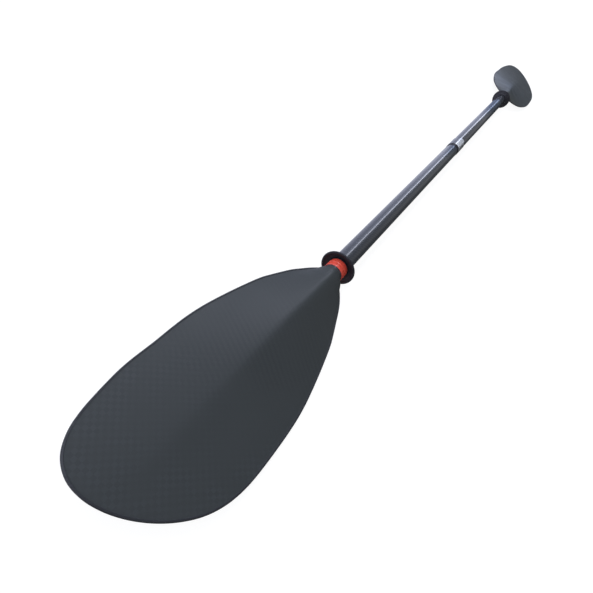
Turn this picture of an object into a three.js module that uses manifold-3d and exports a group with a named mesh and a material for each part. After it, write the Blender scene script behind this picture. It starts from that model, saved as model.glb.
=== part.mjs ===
// Two-piece touring kayak paddle with a straight 30 mm shaft, a push-button
// ferrule at mid length, two drip rings and two scooped, foam-cored blades.
//
// Frame: millimetres. +X runs along the shaft from the left blade to the right
// blade, +Z points out of the power faces of the blades, the shaft's axis is
// Y = Z = 0 and the origin is the middle of the paddle's length.
//
// A blade is described by u, the distance outward along the shaft from the
// blade's root plane, and by Y. The left and the right blade are mirror images
// of each other across the plane X = 0.
import * as THREE from 'three';
import { mergeVertices } from 'three/addons/utils/BufferGeometryUtils.js';
import Module from 'manifold-3d';

const wasm = await Module();
wasm.setup();

// ---------------------------------------------------------------- dimensions
const SHAFT_OD = 30.0;           // hand grip diameter of the shaft
const SHAFT_WALL = 1.5;
const ROOT_X = 617.0;            // distance of a blade's root plane from the middle
const TIP_U = 428.0;             // blade tip, from the root plane

const NECK_START_U = 20.6;       // where the blade's round neck meets the shaft's end
const NECK_R = 15.0;             // neck radius, flush with the shaft
const SKIN_T = 1.2;              // laminate thickness of a blade skin
const GLUE = 0.15;               // bond line between skins, core and rim
const RIM_W = 2.8;               // width of the moulded edge rim
const RIM_GAP = 0.6;            // resin line between the skins and the rim
const RIM_T = 3.4;               // thickness of the blade at its rim

const SPAR_R = 13.35;            // neck spar, inside the shaft and the neck
const SPAR_BORE_R = 11.4;
const SPAR_IN = 34.0;            // length of the spar inside the shaft
const SPAR_TAPER_U = 28.0;       // where the spar starts to taper
const SPAR_OUT_U = 104.0;        // end of the spar inside the blade

const TRIM_U0 = 2.0, TRIM_U1 = 19.6;   // coloured trim ring over the shaft's end
const TRIM_R = 15.7;

const RING_R = 27.6;             // drip ring lip radius
const RING_LEN = 13.0;
const LEFT_RING_X = -621.0;      // lip plane of the left drip ring
const RIGHT_RING_X = 592.0;      // lip plane of the right drip ring

const SEAM_X0 = -18.5, SEAM_X1 = -9.3;     // gap between the two shaft tubes
const FERRULE_R = 12.5;          // sliding diameter of the male ferrule is 25
const FERRULE_BORE_R = 10.5;
const FERRULE_OUT = 78.0;        // how far the male ferrule reaches into the socket
const SLEEVE_R = 12.62;          // running clearance of 0.1 in the socket
const SLEEVE_X1 = 86.0;
const BAND_X0 = -7.5, BAND_X1 = 47.5, BAND_R = 15.9;
const BUTTON_X = 30.0, BUTTON_R = 3.175;  // quarter-inch snap button
const FEATHER_HOLES = [-60, 0, 60];       // degrees from the underside

const COLORS = {
  skin: 0x474d57, rim: 0x26272a, foam: 0xd9d2bf, carbon: 0x2f333b, spar: 0x24262b,
  red: 0xb5382c, rubber: 0x1c1c20, silver: 0xdcdde0, steel: 0xb9bcc0, glass: 0xb8b09a,
};
const STYLE = {
  skin: [0.42, 0.1], rim: [0.55, 0.0], foam: [0.9, 0.0], carbon: [0.2, 0.1], spar: [0.4, 0.1],
  red: [0.35, 0.0], rubber: [0.7, 0.0], silver: [0.3, 0.35], steel: [0.25, 1.0], glass: [0.5, 0.0],
};

// -------------------------------------------------------------- small helpers
// Closed mesh with shared corners and its faces turned outward.
function solid(positions, index) {
  let g = new THREE.BufferGeometry();
  g.setAttribute('position', new THREE.Float32BufferAttribute(positions, 3));
  g.setIndex(index);
  return tidy(g);
}
function tidy(source) {
  let g = source.clone();
  g.deleteAttribute('normal');
  g.deleteAttribute('uv');
  g = mergeVertices(g, 1e-4);
  const p = g.attributes.position, idx = Array.from(g.index.array), keep = [];
  let volume = 0;
  const a = new THREE.Vector3(), b = new THREE.Vector3(), c = new THREE.Vector3();
  for (let i = 0; i < idx.length; i += 3) {
    const [i0, i1, i2] = [idx[i], idx[i + 1], idx[i + 2]];
    if (i0 === i1 || i1 === i2 || i2 === i0) continue;
    a.fromBufferAttribute(p, i0); b.fromBufferAttribute(p, i1); c.fromBufferAttribute(p, i2);
    volume += a.dot(b.cross(c));
    keep.push(i0, i1, i2);
  }
  if (volume < 0) for (let i = 0; i < keep.length; i += 3) [keep[i], keep[i + 1]] = [keep[i + 1], keep[i]];
  g.setIndex(keep);
  return g;
}
function toManifold(g) {
  return new wasm.Manifold(new wasm.Mesh({
    numProp: 3,
    vertProperties: Float32Array.from(g.attributes.position.array),
    triVerts: Uint32Array.from(g.index.array),
  }));
}
function fromManifold(m) {
  const mesh = m.getMesh(), n = mesh.numProp, count = mesh.vertProperties.length / n, xyz = [];
  for (let i = 0; i < count; i++) xyz.push(mesh.vertProperties[i * n], mesh.vertProperties[i * n + 1], mesh.vertProperties[i * n + 2]);
  return solid(xyz, Array.from(mesh.triVerts));
}
const cut = (g, ...tools) => fromManifold(tools.reduce((m, t) => m.subtract(toManifold(t)), toManifold(g)));
const join = (g, ...more) => fromManifold(more.reduce((m, t) => m.add(toManifold(t)), toManifold(g)));

// Body of revolution about the X axis from [x, r] points. A ring's profile
// closes on itself, a plug's profile starts and ends on the axis.
function turned(profile, segments, ring = true) {
  const pts = profile.map(([x, r]) => new THREE.Vector2(r, x));
  if (ring) pts.push(pts[0].clone());
  const g = new THREE.LatheGeometry(pts, segments);
  g.rotateZ(-Math.PI / 2);
  return tidy(g);
}
const tube = (x0, x1, r0, r1, segments = 32) => turned([[x0, r0], [x1, r0], [x1, r1], [x0, r1]], segments);
const mirrored = (g) => { const h = g.clone(); h.scale(-1, 1, 1); return tidy(h); };

// Monotone curve through a table of [x, y].
function curve(table) {
  const n = table.length, x = table.map((t) => t[0]), y = table.map((t) => t[1]);
  const d = [], m = new Array(n);
  for (let i = 0; i < n - 1; i++) d.push((y[i + 1] - y[i]) / (x[i + 1] - x[i]));
  m[0] = d[0]; m[n - 1] = d[n - 2];
  for (let i = 1; i < n - 1; i++) {
    if (d[i - 1] * d[i] <= 0) m[i] = 0;
    else {
      const h0 = x[i] - x[i - 1], h1 = x[i + 1] - x[i], w1 = 2 * h1 + h0, w2 = h1 + 2 * h0;
      m[i] = (w1 + w2) / (w1 / d[i - 1] + w2 / d[i]);
    }
  }
  return (v) => {
    if (v <= x[0]) return y[0];
    if (v >= x[n - 1]) return y[n - 1];
    let i = 0;
    while (v > x[i + 1]) i++;
    const h = x[i + 1] - x[i], t = (v - x[i]) / h, t2 = t * t, t3 = t2 * t;
    return (2 * t3 - 3 * t2 + 1) * y[i] + (t3 - 2 * t2 + t) * h * m[i] + (-2 * t3 + 3 * t2) * y[i + 1] + (t3 - t2) * h * m[i + 1];
  };
}
const smooth = (a, b, v) => { const t = Math.min(1, Math.max(0, (v - a) / (b - a))); return t * t * (3 - 2 * t); };

// ------------------------------------------------------------- blade outline
// [u, y] round the blade from the long edge's shoulder over the tip to the
// short edge's shoulder. The tip is nearer the long edge.
const OUTLINE = [
  [20, 15], [25.2, 16.1], [31.5, 20.6], [37.2, 24.9], [42.5, 28.6], [48, 32.2], [53.5, 35.6], [59, 39], [64.4, 42.4],
  [70.5, 45.7], [76.3, 48.4], [88.2, 53.7], [100.3, 58.8], [113.9, 64.1], [151.7, 73.6], [180.7, 79.4], [203.9, 83.2], [223.4, 85.2],
  [240.4, 86.0], [255.2, 86.0], [268.6, 85.8], [281.0, 85.5], [293.0, 85.5], [305.1, 85.6],
  [317.7, 85.4], [331.2, 84.5], [345.7, 82.6], [362.0, 80.0], [380.8, 76.2], [400.7, 69.2],
  [417.5, 56.8], [426.7, 39.2], [428.0, 19.4], [423.8, 0.0], [416.3, -17.8], [406.9, -33.5],
  [396.2, -47.3], [384.6, -59.1], [372.3, -69.1], [359.2, -76.9], [345.7, -82.6], [332.1, -86.4],
  [318.8, -88.8], [305.9, -90.1], [293.2, -90.8], [280.4, -91.2], [267.2, -91.4], [253.1, -91.4],
  [237.5, -91.0], [219.8, -89.9], [199.5, -87.4], [175.9, -82.9], [146.6, -76.2], [109.4, -65.7],
  [97, -60.6], [84.4, -55], [78.6, -52.3], [72.7, -49.6], [66.8, -46.9], [60.9, -44], [55.2, -40.9], [49.7, -37.6],
  [44.6, -34], [39.4, -30.2], [34.5, -26.2], [30, -21.8], [25.6, -17], [20, -15],
];
const outlineCurve = new THREE.CatmullRomCurve3(OUTLINE.map(([u, y]) => new THREE.Vector3(u, y, 0)), false, 'centripetal');
const FINE = outlineCurve.getPoints(900).map((p) => [p.x, p.y]);

// Outline moved inward by the rim's width, fading to nothing along the neck.
function insetOutline(width) {
  const n = FINE.length, out = [];
  for (let i = 0; i < n; i++) {
    const a = FINE[Math.max(0, i - 3)], b = FINE[Math.min(n - 1, i + 3)];
    const dx = b[0] - a[0], dy = b[1] - a[1], l = Math.hypot(dx, dy);
    const k = width * smooth(28, 38, FINE[i][0]);
    out.push([FINE[i][0] + (dy / l) * k, FINE[i][1] - (dx / l) * k]);
  }
  return out;
}
// Highest and lowest Y of an outline at a station.
function spans(poly) {
  let tip = 0;
  poly.forEach((p, i) => { if (p[0] > poly[tip][0]) tip = i; });
  const up = poly.slice(0, tip + 1), down = poly.slice(tip).reverse();
  const at = (line, u) => {
    if (u <= line[0][0]) return line[0][1];
    for (let i = 1; i < line.length; i++) {
      if (line[i][0] >= u) {
        const [u0, y0] = line[i - 1], [u1, y1] = line[i];
        return u1 - u0 < 1e-9 ? y1 : y0 + ((u - u0) / (u1 - u0)) * (y1 - y0);
      }
    }
    return line[line.length - 1][1];
  };
  return { tipU: poly[tip][0], tipY: poly[tip][1], hi: (u) => at(up, u), lo: (u) => at(down, u) };
}
const FULL = spans(FINE);
const INNER = spans(insetOutline(RIM_W + RIM_GAP));

// ------------------------------------------------------------- blade surface
const rimZ = (u) => { const v = Math.max(u - 30, 0); return 4.318e-4 * v * v - 0.1631 * v; };
const rimHalf = (u) => (RIM_T / 2) * smooth(26, 48, u);
const tentTop = curve([[24, 15], [36, 15.9], [60, 17.4], [100, 18.8], [150, 16.7], [200, 12.1], [260, 6.6], [320, 3.6], [380, 1.6], [428, 0]]);
const tentBot = curve([[24, 0], [36, 1], [60, 5], [100, 7.5], [150, 7.5], [200, 6.5], [260, 4.8], [320, 3], [380, 1.4], [428, 0]]);
const spineTop = curve([[24, 15], [36, 15], [60, 14.2], [100, 10.5], [150, 4], [200, -2.5], [250, -8], [300, -14], [428, -30]]);
const spineBot = curve([[24, -15], [36, -15], [60, -14.7], [100, -14.2], [150, -14], [200, -14], [260, -13.5], [300, -9], [428, 12]]);
const spineHalf = curve([[24, 15], [36, 15], [60, 14.6], [100, 13], [150, 10.5], [200, 8], [250, 5.5], [428, 4]]);
const ridgeRound = curve([[24, 0.5], [60, 0.2], [100, 0.12], [150, 0.09], [250, 0.08], [428, 0.08]]);
const ridgeY = (u) => FULL.tipY * smooth(370, TIP_U, u);

function across(u, y) {
  const c = ridgeY(u), top = INNER.hi(u), low = INNER.lo(u);
  return Math.min(1, y >= c ? (y - c) / Math.max(top - c, 1e-6) : (c - y) / Math.max(c - low, 1e-6));
}
function softMax(a, b, k) {
  const h = Math.max(k - Math.abs(a - b), 0) / k;
  return Math.max(a, b) + (h * h * k) / 4;
}
// Height of the power face (side = 1) or of the back face (side = -1). Both
// leave the neck as a dome; the power face opens into a roof with a rounded
// ridge, the back face into a scoop with a spine down its middle.
function faceZ(u, y, side) {
  const q = across(u, y), base = rimZ(u) + side * rimHalf(u), crown = side > 0 ? tentTop(u) : spineBot(u) - base;
  const dome = base + crown * Math.sqrt(Math.max(1 - q * q, 0));
  let open;
  if (side > 0) {
    const e = ridgeRound(u);
    open = base + crown * (1 - (Math.hypot(q, e) - e) / (Math.hypot(1, e) - e));
  } else {
    const wing = base + tentBot(u) * (1 - Math.pow(q, 1.12));
    const mid = (spineTop(u) + spineBot(u)) / 2, half = (spineTop(u) - spineBot(u)) / 2, w = Math.abs(y) / spineHalf(u);
    open = half <= 0 || w >= 1 ? wing : -softMax(-wing, half * Math.sqrt(1 - w * w) - mid, 3.5);
  }
  return dome + (open - dome) * smooth(22, 52, u);
}
// Points across one station of a face, moved inward by depth along the normal.
function facePoints(u, side, depth, count) {
  const hi = INNER.hi(u), lo = INNER.lo(u), c = Math.min(hi, Math.max(lo, ridgeY(u))), pts = [];
  const half = count / 2, quarter = half / 2, spread = smooth(24, 52, u);
  for (let j = 0; j <= count; j++) {
    const i = Math.abs(j - half), sign = j < half ? -1 : 1, reach = sign > 0 ? hi - c : c - lo;
    const b = Math.min(spineHalf(u), 0.5 * reach);
    const round = reach * Math.sin((Math.PI / 2) * (i / half));
    const wing = i <= quarter ? b * Math.sin((Math.PI / 2) * (i / quarter)) : b + (reach - b) * ((i - quarter) / quarter);
    const y = c + sign * (round + (wing - round) * spread);
    pts.push([y, faceZ(u, y, side)]);
  }
  if (!depth) return pts;
  return pts.map(([y, z], j) => {
    const a = pts[Math.max(0, j - 1)], b = pts[Math.min(count, j + 1)];
    let ny = -(b[1] - a[1]), nz = b[0] - a[0];
    if (u < 46 && (j === 0 || j === count)) { ny = j === 0 ? -1 : 1; nz = 0; if (side < 0) { ny = -ny; } }
    const l = Math.hypot(ny, nz);
    return [y - side * depth * (ny / l), z - side * depth * (nz / l)];
  });
}
// Solid through closed station loops of equal length.
function loft(stations) {
  const xyz = [], index = [], n = stations[0].loop.length;
  stations.forEach(({ x, loop }) => loop.forEach(([y, z]) => xyz.push(x, y, z)));
  for (let s = 0; s < stations.length - 1; s++) {
    for (let i = 0; i < n; i++) {
      const j = (i + 1) % n, a = s * n + i, b = s * n + j, c = a + n, d = b + n;
      if (i < n / 2) index.push(a, b, c, b, d, c);
      else index.push(a, b, d, a, d, c);     // both runs split their quads along the same diagonal
    }
  }
  const half = n / 2;                       // caps join the outer run to the inner run
  for (const [base, flip] of [[0, false], [(stations.length - 1) * n, true]]) {
    for (let i = 0; i < half - 1; i++) {
      const a = base + i, b = base + i + 1, c = base + n - 1 - i, d = base + n - 2 - i;
      const tris = [[a, c, b], [b, c, d]];
      tris.forEach(([p, q, r]) => (flip ? index.push(p, r, q) : index.push(p, q, r)));
    }
  }
  return solid(xyz, index);
}
// Stations crowd together towards the tip, where the outline turns.
function stationsU(u0, u1, breaks, tail) {
  const out = [...breaks];
  for (let i = 1; i <= tail; i++) out.push(breaks[breaks.length - 1] + (u1 - breaks[breaks.length - 1]) * Math.sin((Math.PI / 2) * (i / tail)));
  return out.filter((u) => u >= u0);
}
const ACROSS = 16;
const SKIN_END = INNER.tipU - 0.35;
const SKIN_U = stationsU(NECK_START_U, SKIN_END, [20.9, 27, 33.5, 40, 46, 53, 62, 74, 90, 112, 138, 168, 200, 235, 270, 300, 330], 6);

function skin(side) {
  return loft(SKIN_U.map((u) => {
    const outer = facePoints(u, side, 0, ACROSS), inner = facePoints(u, side, SKIN_T, ACROSS);
    const floor = rimZ(u);
    const clear = (d) => ([y, z]) => [y, side > 0 ? Math.max(z, floor + d) : Math.min(z, floor - d)];
    return { x: u, loop: [...outer.map(clear(0.6)), ...inner.reverse().map(clear(0.12))] };
  }));
}
function core() {
  const d = SKIN_T + GLUE, all = SKIN_U.filter((u) => u >= 46).slice(0, -1);
  const body = loft(all.map((u) => ({ x: u, loop: [...facePoints(u, 1, d, ACROSS), ...facePoints(u, -1, d, ACROSS).reverse()] })));
  return cut(body, turned([[40, 0], [40, sparR(40) + 0.3], [SPAR_OUT_U + 0.5, sparR(SPAR_OUT_U) + 0.3], [SPAR_OUT_U + 0.5, 0]], 24, false));
}
// Moulded rim: a bead round the blade's edge from shoulder to shoulder.
function rim() {
  const run = FINE.filter(([u]) => u > 39), pick = [], steps = 66;
  const length = [0];
  for (let i = 1; i < run.length; i++) length.push(length[i - 1] + Math.hypot(run[i][0] - run[i - 1][0], run[i][1] - run[i - 1][1]));
  for (let k = 0; k <= steps; k++) {
    const want = (length[length.length - 1] * k) / steps;
    let i = 1;
    while (i < run.length - 1 && length[i] < want) i++;
    const t = (want - length[i - 1]) / Math.max(length[i] - length[i - 1], 1e-9);
    const a = run[Math.max(0, i - 4)], b = run[Math.min(run.length - 1, i + 3)], l = Math.hypot(b[0] - a[0], b[1] - a[1]);
    pick.push({ u: run[i - 1][0] + t * (run[i][0] - run[i - 1][0]), y: run[i - 1][1] + t * (run[i][1] - run[i - 1][1]), nu: (b[1] - a[1]) / l, ny: -(b[0] - a[0]) / l });
  }
  const shape = [[RIM_W, 1], [0.8, 1], [0, 0.3], [0, -0.3], [0.8, -1], [RIM_W, -1]];
  const xyz = [], index = [], n = shape.length;
  pick.forEach(({ u, y, nu, ny }) => shape.forEach(([d, h]) => xyz.push(u + nu * d, y + ny * d, rimZ(u) + h * Math.max(rimHalf(u), 1.2))));
  for (let s = 0; s < pick.length - 1; s++) {
    for (let i = 0; i < n; i++) {
      const j = (i + 1) % n, a = s * n + i, b = s * n + j;
      index.push(a, b, a + n, b, b + n, a + n);
    }
  }
  for (const [base, flip] of [[0, false], [(pick.length - 1) * n, true]]) {
    for (let i = 1; i < n - 1; i++) flip ? index.push(base, base + i, base + i + 1) : index.push(base, base + i + 1, base + i);
  }
  return solid(xyz, index);
}
function sparR(u) { return u <= SPAR_TAPER_U ? SPAR_R : SPAR_R + ((8 - SPAR_R) * (u - SPAR_TAPER_U)) / (SPAR_OUT_U - SPAR_TAPER_U); }

// --------------------------------------------------------------- right blade
// Built with x = u, then moved outward to the root plane.
const toRight = (g) => { const h = g.clone(); h.translate(ROOT_X, 0, 0); return tidy(h); };
const faceSkinR = toRight(skin(1)), backSkinR = toRight(skin(-1));
const coreR = toRight(core()), rimR = toRight(rim());
const sparG = toRight(turned([
  [-SPAR_IN, SPAR_BORE_R], [SPAR_TAPER_U, SPAR_BORE_R], [SPAR_OUT_U, 6.4], [SPAR_OUT_U, 8], [SPAR_TAPER_U, SPAR_R], [-SPAR_IN, SPAR_R],
], 28));
const trimR = toRight(turned([
  [TRIM_U0, SHAFT_OD / 2 + 0.14], [TRIM_U1, SHAFT_OD / 2 + 0.14], [TRIM_U1, TRIM_R - 0.25], [TRIM_U1 - 0.8, TRIM_R + 0.05],
  [12.2, TRIM_R + 0.05], [11.2, TRIM_R - 0.35], [10.2, TRIM_R + 0.05], [TRIM_U0 + 0.8, TRIM_R + 0.05], [TRIM_U0, TRIM_R - 0.25],
], 32));

// Drip ring: cup open towards the blade, hub gripping the shaft. t runs from
// the lip plane towards the middle of the paddle.
const ringProfile = [
  [0, 26.4], [0.9, RING_R], [2.9, RING_R], [4.2, 26.4], [6, 22.6], [8.5, 19.4], [11.4, 17.7], [RING_LEN - 0.4, 17.1], [RING_LEN, 16.4],
  [RING_LEN, SHAFT_OD / 2 + 0.14], [6, SHAFT_OD / 2 + 0.14], [5, 16.6], [3.7, 20.4], [2.4, 23.5], [0.5, 24.9],
];
const dripRing = (lipX, sign) => turned(ringProfile.map(([t, r]) => [lipX + sign * t, r]), 32);

// ----------------------------------------------------------- shaft and joint
const shaftIR = SHAFT_OD / 2 - SHAFT_WALL, shaftR = SHAFT_OD / 2;
const shaftEnd = ROOT_X + NECK_START_U;
// Radial hole for the snap button; angle 0 is straight down.
function radialPin(radius, r0, r1, angle, segments = 16) {
  const g = new THREE.CylinderGeometry(radius, radius, r1 - r0, segments);
  g.rotateX(Math.PI / 2);
  g.translate(0, 0, -(r0 + r1) / 2);
  g.rotateX((angle * Math.PI) / 180);
  g.translate(BUTTON_X, 0, 0);
  return tidy(g);
}
const holes = FEATHER_HOLES.map((a) => radialPin(BUTTON_R + 0.35, 11, 18, a));

const leftShaft = tube(-shaftEnd, SEAM_X0, shaftIR, shaftR, 36);
const rightShaft = cut(tube(SEAM_X1, shaftEnd, shaftIR, shaftR, 36), ...holes);
const jointSeal = turned([[SEAM_X0 + 0.25, FERRULE_R + 0.1], [SEAM_X1 - 0.25, FERRULE_R + 0.1], [SEAM_X1 - 0.25, 15.0], [SEAM_X1 - 1, 15.45], [SEAM_X0 + 1, 15.45], [SEAM_X0 + 0.25, 15.0]], 48);
const jointBand = cut(turned([
  [BAND_X0, shaftR + 0.08], [BAND_X1, shaftR + 0.08], [BAND_X1, BAND_R - 0.3], [BAND_X1 - 0.8, BAND_R], [BAND_X0 + 0.8, BAND_R], [BAND_X0, BAND_R - 0.3],
], 40), ...holes);
const ferruleSleeve = cut(tube(SEAM_X1, SLEEVE_X1, SLEEVE_R, shaftIR - 0.08, 48), ...holes);
const maleFerrule = cut(turned([
  [-62, FERRULE_BORE_R], [FERRULE_OUT, FERRULE_BORE_R], [FERRULE_OUT, FERRULE_R - 0.6], [FERRULE_OUT - 1.5, FERRULE_R],
  [SEAM_X0 - 0.1, FERRULE_R], [SEAM_X0 - 0.1, shaftIR - 0.08], [-62, shaftIR - 0.08],
], 48), radialPin(BUTTON_R + 0.12, 8, 18, 0));
const ferrulePlug = turned([[66, 0], [66, FERRULE_BORE_R - 0.15], [FERRULE_OUT + 0.2, FERRULE_BORE_R - 0.15], [FERRULE_OUT + 0.2, 11.8], [FERRULE_OUT + 1.8, 11.4], [FERRULE_OUT + 1.8, 0]], 28, false);
const waterStop = (x0, x1) => turned([[x0, 0], [x0, shaftIR - 0.15], [x1, shaftIR - 0.15], [x1, 0]], 24, false);

// Snap button: a flanged pin with a domed head, its flange under the wall of
// the male ferrule.
const buttonProfile = [[8.2, 0], [8.2, 4.4], [9.2, 4.4], [9.2, BUTTON_R], [16.1, BUTTON_R], [16.9, 2.5], [17.3, 1.3], [17.45, 0]];
const snapButton = (() => {
  const g = new THREE.LatheGeometry(buttonProfile.map(([d, r]) => new THREE.Vector2(r, -d)), 20);
  g.rotateX(Math.PI / 2);
  g.translate(BUTTON_X, 0, 0);
  return tidy(g);
})();
// V-shaped leaf spring that presses the button out against the far wall.
const snapSpring = (() => {
  const t = 0.8, s = new THREE.Shape();
  s.moveTo(51, 7.9);
  s.lineTo(50, 7.9 + 0.05);
  s.lineTo(40, 7.95);
  s.lineTo(17, 1.2);
  s.quadraticCurveTo(14.2, 0, 17, -1.2);
  s.lineTo(44, -9.2);
  s.lineTo(54, -9.2);
  s.lineTo(54, -9.2 + t);
  s.lineTo(44.2, -9.2 + t);
  s.lineTo(18.2, -0.45);
  s.quadraticCurveTo(16.6, 0, 18.2, 0.45);
  s.lineTo(40.2, 7.95 - t);
  s.lineTo(51, 7.95 - t);
  s.closePath();
  const g = new THREE.ExtrudeGeometry(s, { depth: 7.0, bevelEnabled: false, curveSegments: 4 });
  g.translate(BUTTON_X - 45, 0, -3.5);
  g.rotateX(-Math.PI / 2);                 // the sketch's +Y becomes -Z, towards the button
  return tidy(g);
})();

// ------------------------------------------------------------------ assembly
const paddle = new THREE.Group();
function add(name, geometry, look, parent = paddle) {
  const [roughness, metalness] = STYLE[look];
  const mesh = new THREE.Mesh(geometry, new THREE.MeshStandardMaterial({ color: COLORS[look], roughness, metalness }));
  mesh.name = name;
  parent.add(mesh);
  return mesh;
}
const leftHalf = new THREE.Group(), rightHalf = new THREE.Group(), joint = new THREE.Group();
paddle.add(leftHalf, rightHalf, joint);

add('right_blade_power_skin', faceSkinR, 'skin', rightHalf);
add('right_blade_back_skin', backSkinR, 'skin', rightHalf);
add('right_blade_foam_core', coreR, 'foam', rightHalf);
add('right_blade_edge_rim', rimR, 'rim', rightHalf);
add('right_neck_spar', sparG, 'spar', rightHalf);
add('right_shaft_tube', rightShaft, 'carbon', rightHalf);
add('right_trim_ring', trimR, 'red', rightHalf);
add('right_drip_ring', dripRing(RIGHT_RING_X, -1), 'rubber', rightHalf);
add('right_water_stop', waterStop(92, 117), 'foam', rightHalf);

add('left_blade_power_skin', mirrored(faceSkinR), 'skin', leftHalf);
add('left_blade_back_skin', mirrored(backSkinR), 'skin', leftHalf);
add('left_blade_foam_core', mirrored(coreR), 'foam', leftHalf);
add('left_blade_edge_rim', mirrored(rimR), 'rim', leftHalf);
add('left_neck_spar', mirrored(sparG), 'spar', leftHalf);
add('left_shaft_tube', leftShaft, 'carbon', leftHalf);
add('left_trim_ring', mirrored(trimR), 'red', leftHalf);
add('left_drip_ring', dripRing(LEFT_RING_X, 1), 'rubber', leftHalf);
add('left_water_stop', waterStop(-90, -65), 'foam', leftHalf);

add('male_ferrule', maleFerrule, 'glass', joint);
add('ferrule_end_plug', ferrulePlug, 'rubber', joint);
add('ferrule_sleeve', ferruleSleeve, 'glass', joint);
add('joint_band', jointBand, 'silver', joint);
add('joint_seal', jointSeal, 'rubber', joint);
add('snap_button', snapButton, 'steel', joint);
add('snap_spring', snapSpring, 'steel', joint);

export default paddle;
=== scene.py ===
import bpy, math
import numpy as np
from mathutils import Matrix, Vector


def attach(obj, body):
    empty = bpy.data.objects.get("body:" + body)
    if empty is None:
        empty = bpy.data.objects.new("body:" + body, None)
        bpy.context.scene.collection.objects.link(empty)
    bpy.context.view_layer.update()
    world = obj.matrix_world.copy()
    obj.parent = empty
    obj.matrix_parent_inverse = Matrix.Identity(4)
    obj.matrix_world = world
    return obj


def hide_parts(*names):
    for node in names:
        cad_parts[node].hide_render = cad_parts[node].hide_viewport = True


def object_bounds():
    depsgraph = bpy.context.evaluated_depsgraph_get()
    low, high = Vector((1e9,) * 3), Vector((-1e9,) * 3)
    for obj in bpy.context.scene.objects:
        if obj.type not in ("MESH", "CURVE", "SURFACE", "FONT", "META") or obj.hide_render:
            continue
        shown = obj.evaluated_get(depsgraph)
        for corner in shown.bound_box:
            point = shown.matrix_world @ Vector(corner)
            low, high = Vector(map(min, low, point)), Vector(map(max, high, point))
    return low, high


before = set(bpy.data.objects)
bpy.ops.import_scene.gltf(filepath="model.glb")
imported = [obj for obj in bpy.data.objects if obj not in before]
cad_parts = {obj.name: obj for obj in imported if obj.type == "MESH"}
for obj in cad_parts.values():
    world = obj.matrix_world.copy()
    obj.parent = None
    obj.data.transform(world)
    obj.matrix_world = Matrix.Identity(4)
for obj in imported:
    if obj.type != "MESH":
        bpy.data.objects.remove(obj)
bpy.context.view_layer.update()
MM = 0.001
PI = math.pi

# ------------------------------------------------------------------ dimensions
# The same driving sizes as the CAD part, in millimetres.
SHAFT_R, SHAFT_IR = 15.0, 13.5
ROOT_X, TIP_U, NECK_U = 617.0, 428.0, 20.6
RIM_W, RIM_T, SKIN_T = 2.8, 3.4, 1.2
SEAM_X0, SEAM_X1 = -18.5, -9.3
BAND_X0, BAND_X1, BAND_R = -7.5, 47.5, 15.9
BUTTON_X, BUTTON_R = 30.0, 3.175
RING_R, RING_LEN = 27.6, 13.0

OUTLINE = [
    (20, 15), (25.2, 16.1), (31.5, 20.6), (37.2, 24.9), (42.5, 28.6), (48, 32.2), (53.5, 35.6), (59, 39), (64.4, 42.4),
    (70.5, 45.7), (76.3, 48.4), (88.2, 53.7), (100.3, 58.8), (113.9, 64.1), (151.7, 73.6), (180.7, 79.4), (203.9, 83.2), (223.4, 85.2),
    (240.4, 86.0), (255.2, 86.0), (268.6, 85.8), (281.0, 85.5), (293.0, 85.5), (305.1, 85.6),
    (317.7, 85.4), (331.2, 84.5), (345.7, 82.6), (362.0, 80.0), (380.8, 76.2), (400.7, 69.2),
    (417.5, 56.8), (426.7, 39.2), (428.0, 19.4), (423.8, 0.0), (416.3, -17.8), (406.9, -33.5),
    (396.2, -47.3), (384.6, -59.1), (372.3, -69.1), (359.2, -76.9), (345.7, -82.6), (332.1, -86.4),
    (318.8, -88.8), (305.9, -90.1), (293.2, -90.8), (280.4, -91.2), (267.2, -91.4), (253.1, -91.4),
    (237.5, -91.0), (219.8, -89.9), (199.5, -87.4), (175.9, -82.9), (146.6, -76.2), (109.4, -65.7),
    (97, -60.6), (84.4, -55), (78.6, -52.3), (72.7, -49.6), (66.8, -46.9), (60.9, -44), (55.2, -40.9), (49.7, -37.6),
    (44.6, -34), (39.4, -30.2), (34.5, -26.2), (30, -21.8), (25.6, -17), (20, -15),
]


# --------------------------------------------------------------- small helpers
def curve(table):
    """Monotone curve through (x, y) points."""
    x = np.array([t[0] for t in table], float)
    y = np.array([t[1] for t in table], float)
    d = np.diff(y) / np.diff(x)
    m = np.zeros(len(x))
    m[0], m[-1] = d[0], d[-1]
    for i in range(1, len(x) - 1):
        if d[i - 1] * d[i] > 0:
            h0, h1 = x[i] - x[i - 1], x[i + 1] - x[i]
            w1, w2 = 2 * h1 + h0, h1 + 2 * h0
            m[i] = (w1 + w2) / (w1 / d[i - 1] + w2 / d[i])

    def at(v):
        v = np.clip(np.asarray(v, float), x[0], x[-1])
        i = np.clip(np.searchsorted(x, v, side="right") - 1, 0, len(x) - 2)
        h = x[i + 1] - x[i]
        t = (v - x[i]) / h
        t2, t3 = t * t, t * t * t
        return (2 * t3 - 3 * t2 + 1) * y[i] + (t3 - 2 * t2 + t) * h * m[i] + (-2 * t3 + 3 * t2) * y[i + 1] + (t3 - t2) * h * m[i + 1]
    return at


def smooth(a, b, v):
    t = np.clip((np.asarray(v, float) - a) / (b - a), 0, 1)
    return t * t * (3 - 2 * t)


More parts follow.
